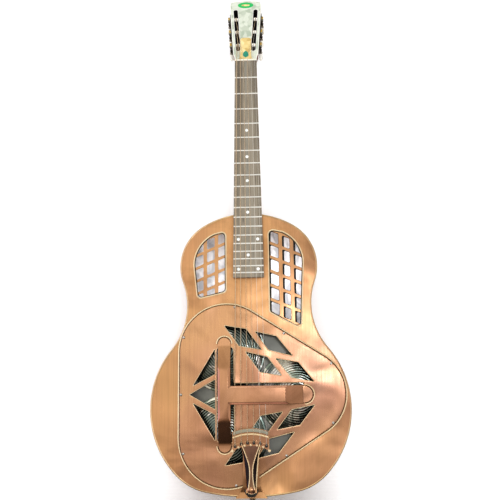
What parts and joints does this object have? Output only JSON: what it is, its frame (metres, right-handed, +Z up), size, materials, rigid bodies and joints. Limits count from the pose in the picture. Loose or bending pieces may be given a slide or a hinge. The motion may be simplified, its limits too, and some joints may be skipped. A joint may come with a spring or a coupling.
{
  "type": "resonator guitar",
  "caption": "Metal-bodied resonator guitar with three spun cones under a pierced coverplate, a T-shaped hand rest, screened sound holes and a slotted headstock with side tuners.",
  "frame": {"origin": "on the flat outer face of the back plate, on the centre line, at the widest part of the lower bout", "axes": "+Z up the neck, +X towards the thin strings' side, +Y out of the back plate, so the strings face -Y"},
  "size_m": [0.3618, 0.103, 0.9898],
  "materials": {
    "antique_copper": "satin brushed antique copper plating, lighter and more golden on edges",
    "nickel": "dull nickel plate",
    "spun_aluminium": "spun, with fine rings",
    "maple": "oiled",
    "mahogany": "glossy lacquer",
    "rosewood": "open grain, satin",
    "bone": "polished bone",
    "pearloid": "pearly swirls, glossy",
    "amber": "amber pearl with a green border",
    "wound_bronze": "wound, satin",
    "plain_steel": "bright",
    "brass": "polished brass gear, cream roller"
  },
  "bodies": {
    "guitar": {"top_plate": "antique_copper", "rim": "antique_copper", "back_plate": "antique_copper", "sound_grille_bass": "antique_copper", "sound_grille_treble": "antique_copper", "coverplate": "antique_copper", "hand_rest": "antique_copper", "tailpiece": "antique_copper", "tailpiece_bracket": "antique_copper", "soundwell": "nickel", "end_pin": "nickel", "tuner_plate_bass": "nickel", "tuner_plate_treble": "nickel", "bracket_screw_1": "nickel", "bracket_screw_2": "nickel", "coverplate_screw_1": "nickel", "coverplate_screw_2": "nickel", "coverplate_screw_3": "nickel", "coverplate_screw_4": "nickel", "coverplate_screw_5": "nickel", "coverplate_screw_6": "nickel", "coverplate_screw_7": "nickel", "coverplate_screw_8": "nickel", "coverplate_screw_9": "nickel", "cone_1": "spun_aluminium", "cone_2": "spun_aluminium", "cone_3": "spun_aluminium", "t_bridge": "spun_aluminium", "saddle": "maple", "neck_stick": "maple", "neck": "mahogany", "fretboard": "rosewood", "nut": "bone", "headplate": "pearloid", "truss_rod_cover": "amber", "string_1": "wound_bronze", "string_2": "wound_bronze", "string_3": "wound_bronze", "string_4": "wound_bronze", "string_5": "plain_steel", "string_6": "plain_steel", "tailpiece_hinge_pin": "plain_steel"},
    "tuner_knob_1": {"tuner_shaft_1": "plain_steel", "tuner_button_1": "pearloid"},
    "tuner_roller_1": {"tuner_post_1": "brass"},
    "tuner_knob_2": {"tuner_shaft_2": "plain_steel", "tuner_button_2": "pearloid"},
    "tuner_roller_2": {"tuner_post_2": "brass"},
    "tuner_knob_3": {"tuner_shaft_3": "plain_steel", "tuner_button_3": "pearloid"},
    "tuner_roller_3": {"tuner_post_3": "brass"},
    "tuner_knob_4": {"tuner_shaft_4": "plain_steel", "tuner_button_4": "pearloid"},
    "tuner_roller_4": {"tuner_post_4": "brass"},
    "tuner_knob_5": {"tuner_shaft_5": "plain_steel", "tuner_button_5": "pearloid"},
    "tuner_roller_5": {"tuner_post_5": "brass"},
    "tuner_knob_6": {"tuner_shaft_6": "plain_steel", "tuner_button_6": "pearloid"},
    "tuner_roller_6": {"tuner_post_6": "brass"}
  },
  "joints": [
    {"name": "knob_1_turn", "type": "hinge", "parent": "guitar", "child": "tuner_knob_1", "pos_m": [-0.02976, -0.0652, 0.70699], "axis": [0, 0.9681, -0.2504], "continuous": true},
    {"name": "roller_1_turn", "type": "hinge", "parent": "guitar", "child": "tuner_roller_1", "pos_m": [-0.02659, -0.0631, 0.71512], "axis": [0.9983, 0.0145, 0.0561], "continuous": true},
    {"name": "knob_2_turn", "type": "hinge", "parent": "guitar", "child": "tuner_knob_2", "pos_m": [-0.03176, -0.05658, 0.74034], "axis": [0, 0.9681, -0.2504], "continuous": true},
    {"name": "roller_2_turn", "type": "hinge", "parent": "guitar", "child": "tuner_roller_2", "pos_m": [-0.02859, -0.05448, 0.74847], "axis": [0.9983, 0.0145, 0.0561], "continuous": true},
    {"name": "knob_3_turn", "type": "hinge", "parent": "guitar", "child": "tuner_knob_3", "pos_m": [-0.03375, -0.04796, 0.77368], "axis": [0, 0.9681, -0.2504], "continuous": true},
    {"name": "roller_3_turn", "type": "hinge", "parent": "guitar", "child": "tuner_roller_3", "pos_m": [-0.03059, -0.04585, 0.78181], "axis": [0.9983, 0.0145, 0.0561], "continuous": true},
    {"name": "knob_4_turn", "type": "hinge", "parent": "guitar", "child": "tuner_knob_4", "pos_m": [0.03375, -0.04796, 0.77368], "axis": [0, 0.9681, -0.2504], "continuous": true},
    {"name": "roller_4_turn", "type": "hinge", "parent": "guitar", "child": "tuner_roller_4", "pos_m": [0.03059, -0.04585, 0.78181], "axis": [0.9983, -0.0145, -0.0561], "continuous": true},
    {"name": "knob_5_turn", "type": "hinge", "parent": "guitar", "child": "tuner_knob_5", "pos_m": [0.03176, -0.05658, 0.74034], "axis": [0, 0.9681, -0.2504], "continuous": true},
    {"name": "roller_5_turn", "type": "hinge", "parent": "guitar", "child": "tuner_roller_5", "pos_m": [0.02859, -0.05448, 0.74847], "axis": [0.9983, -0.0145, -0.0561], "continuous": true},
    {"name": "knob_6_turn", "type": "hinge", "parent": "guitar", "child": "tuner_knob_6", "pos_m": [0.02976, -0.0652, 0.70699], "axis": [0, 0.9681, -0.2504], "continuous": true},
    {"name": "roller_6_turn", "type": "hinge", "parent": "guitar", "child": "tuner_roller_6", "pos_m": [0.02659, -0.0631, 0.71512], "axis": [0.9983, -0.0145, -0.0561], "continuous": true}
  ],
  "couplings": [
    {"joint": "roller_1_turn", "follows": "knob_1_turn", "ratio": -0.071429},
    {"joint": "roller_2_turn", "follows": "knob_2_turn", "ratio": -0.071429},
    {"joint": "roller_3_turn", "follows": "knob_3_turn", "ratio": -0.071429},
    {"joint": "roller_4_turn", "follows": "knob_4_turn", "ratio": 0.071429},
    {"joint": "roller_5_turn", "follows": "knob_5_turn", "ratio": 0.071429},
    {"joint": "roller_6_turn", "follows": "knob_6_turn", "ratio": 0.071429}
  ]
}
